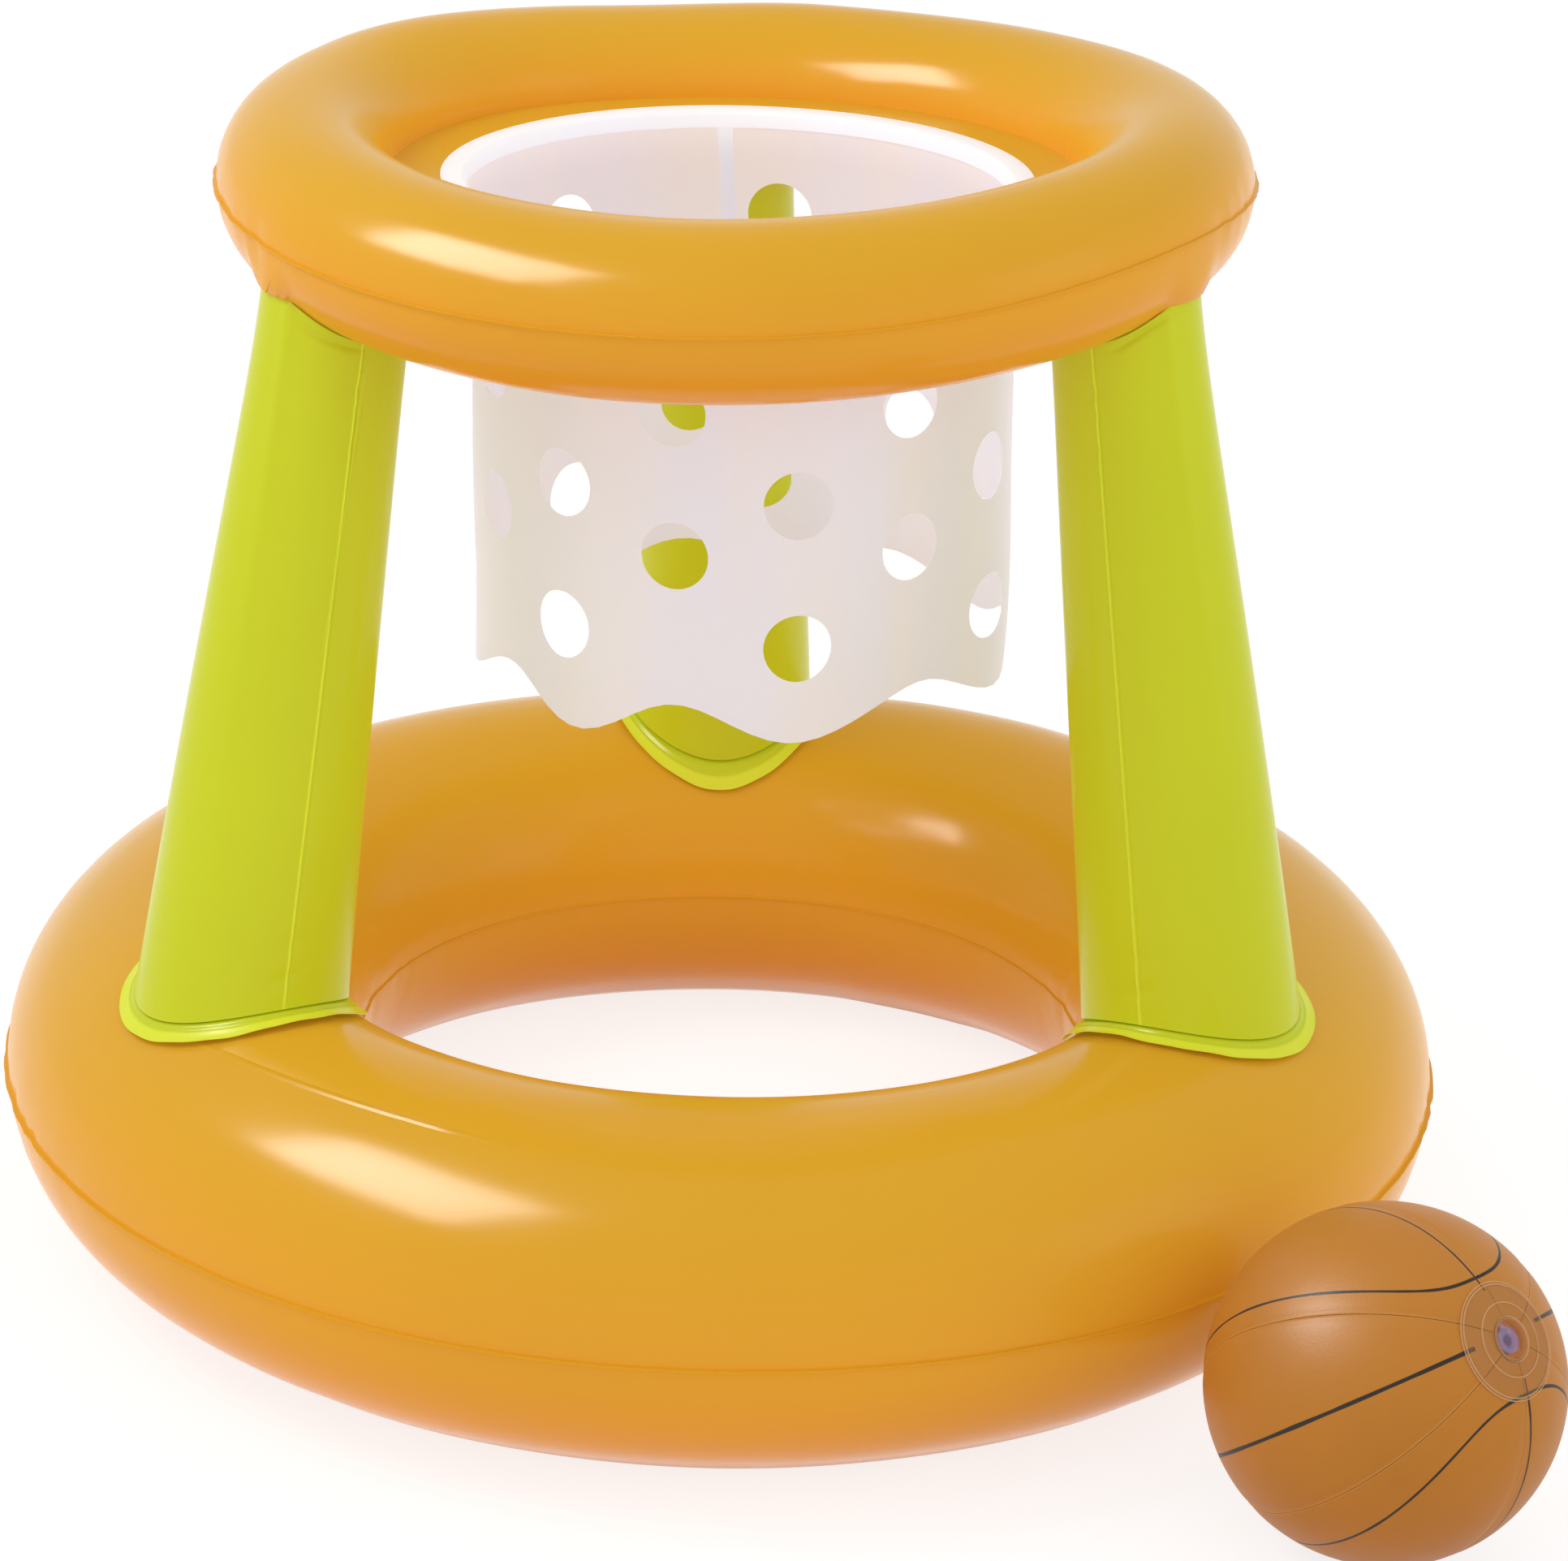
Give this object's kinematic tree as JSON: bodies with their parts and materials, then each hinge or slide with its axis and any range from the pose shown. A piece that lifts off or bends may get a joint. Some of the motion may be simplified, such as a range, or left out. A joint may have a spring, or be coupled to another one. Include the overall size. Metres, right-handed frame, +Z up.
{
  "type": "inflatable basketball hoop",
  "caption": "Inflatable basketball hoop: wide floating base ring, leaning legs, top ring with a punched net that ends in a wavy hem, and a small inflated ball.",
  "frame": {"origin": "on the ground, under the middle of the box around the hoop and its ball", "axes": "+Z up, +Y from the viewer to the back leg, +X to the viewer's right, where the ball lies"},
  "size_m": [0.6858, 0.7407, 0.538],
  "materials": {
    "ring_vinyl": "glossy orange welded vinyl",
    "leg_vinyl": "glossy lime welded vinyl",
    "net_vinyl": "milky white satin vinyl sheet",
    "ball_vinyl": "glossy brown-orange vinyl",
    "clear_vinyl": "soft clear moulded vinyl"
  },
  "bodies": {
    "hoop": {"base_ring_upper_sheet": "ring_vinyl", "base_ring_lower_sheet": "ring_vinyl", "top_ring_upper_sheet": "ring_vinyl", "top_ring_lower_sheet": "ring_vinyl", "left_leg_side_sheet": "leg_vinyl", "left_leg_foot_sheet": "leg_vinyl", "left_leg_top_patch": "leg_vinyl", "right_leg_side_sheet": "leg_vinyl", "right_leg_foot_sheet": "leg_vinyl", "right_leg_top_patch": "leg_vinyl", "back_leg_side_sheet": "leg_vinyl", "back_leg_foot_sheet": "leg_vinyl", "back_leg_top_patch": "leg_vinyl", "net_rim": "net_vinyl", "net_sheet": "net_vinyl", "base_valve_flange": "clear_vinyl", "top_valve_flange": "clear_vinyl"},
    "base_stem": {"base_valve_stem": "clear_vinyl"},
    "base_cap": {"base_valve_cap": "clear_vinyl"},
    "base_flap": {"base_valve_flap": "clear_vinyl"},
    "top_stem": {"top_valve_stem": "clear_vinyl"},
    "top_cap": {"top_valve_cap": "clear_vinyl"},
    "top_flap": {"top_valve_flap": "clear_vinyl"},
    "ball": {"ball_gore_1": "ball_vinyl", "ball_gore_2": "ball_vinyl", "ball_gore_3": "ball_vinyl", "ball_gore_4": "ball_vinyl", "ball_gore_5": "ball_vinyl", "ball_gore_6": "ball_vinyl", "ball_end_patch": "ball_vinyl", "ball_valve_patch": "clear_vinyl"},
    "ball_stem": {"ball_valve_stem": "clear_vinyl"},
    "ball_cap": {"ball_valve_cap": "clear_vinyl"},
    "ball_flap": {"ball_valve_flap": "clear_vinyl"}
  },
  "joints": [
    {"name": "base_stem_slide", "type": "slide", "parent": "hoop", "child": "base_stem", "axis": [0.4167, 0.8178, 0.397], "range_m": [0, 0.0075]},
    {"name": "base_cap_hinge", "type": "hinge", "parent": "base_stem", "child": "base_cap", "pos_m": [0.14944, 0.32627, 0.1097], "axis": [0.1802, 0.3537, -0.9178], "range_deg": [0, 150]},
    {"name": "base_flap_hinge", "type": "hinge", "parent": "base_stem", "child": "base_flap", "pos_m": [0.14337, 0.31524, 0.10426], "axis": [-0.1802, -0.3537, 0.9178], "range_deg": [0, 60], "stiffness_Nm_per_rad": 0.0002},
    {"name": "top_stem_slide", "type": "slide", "parent": "hoop", "child": "top_stem", "axis": [-0.4089, 0.7556, 0.5118], "range_m": [0, 0.0075]},
    {"name": "top_cap_hinge", "type": "hinge", "parent": "top_stem", "child": "top_cap", "pos_m": [-0.11443, 0.23439, 0.5154], "axis": [-0.2905, 0.4238, -0.8579], "range_deg": [0, 150]},
    {"name": "top_flap_hinge", "type": "hinge", "parent": "top_stem", "child": "top_flap", "pos_m": [-0.10918, 0.22384, 0.50841], "axis": [0.2905, -0.4238, 0.8579], "range_deg": [0, 60], "stiffness_Nm_per_rad": 0.0002},
    {"name": "ball_lift", "type": "slide", "parent": "hoop", "child": "ball", "axis": [0, 0, 1], "range_m": [0, 0.6]},
    {"name": "ball_stem_slide", "type": "slide", "parent": "ball", "child": "ball_stem", "axis": [0.5688, -0.5768, 0.5864], "range_m": [0, 0.0075]},
    {"name": "ball_cap_hinge", "type": "hinge", "parent": "ball_stem", "child": "ball_cap", "pos_m": [0.30629, -0.33436, 0.12277], "axis": [-0.712, -0.7022, 0], "range_deg": [0, 70]},
    {"name": "ball_flap_hinge", "type": "hinge", "parent": "ball_stem", "child": "ball_flap", "pos_m": [0.29929, -0.32726, 0.11506], "axis": [0.712, 0.7022, 0], "range_deg": [0, 60], "stiffness_Nm_per_rad": 0.0002}
  ]
}
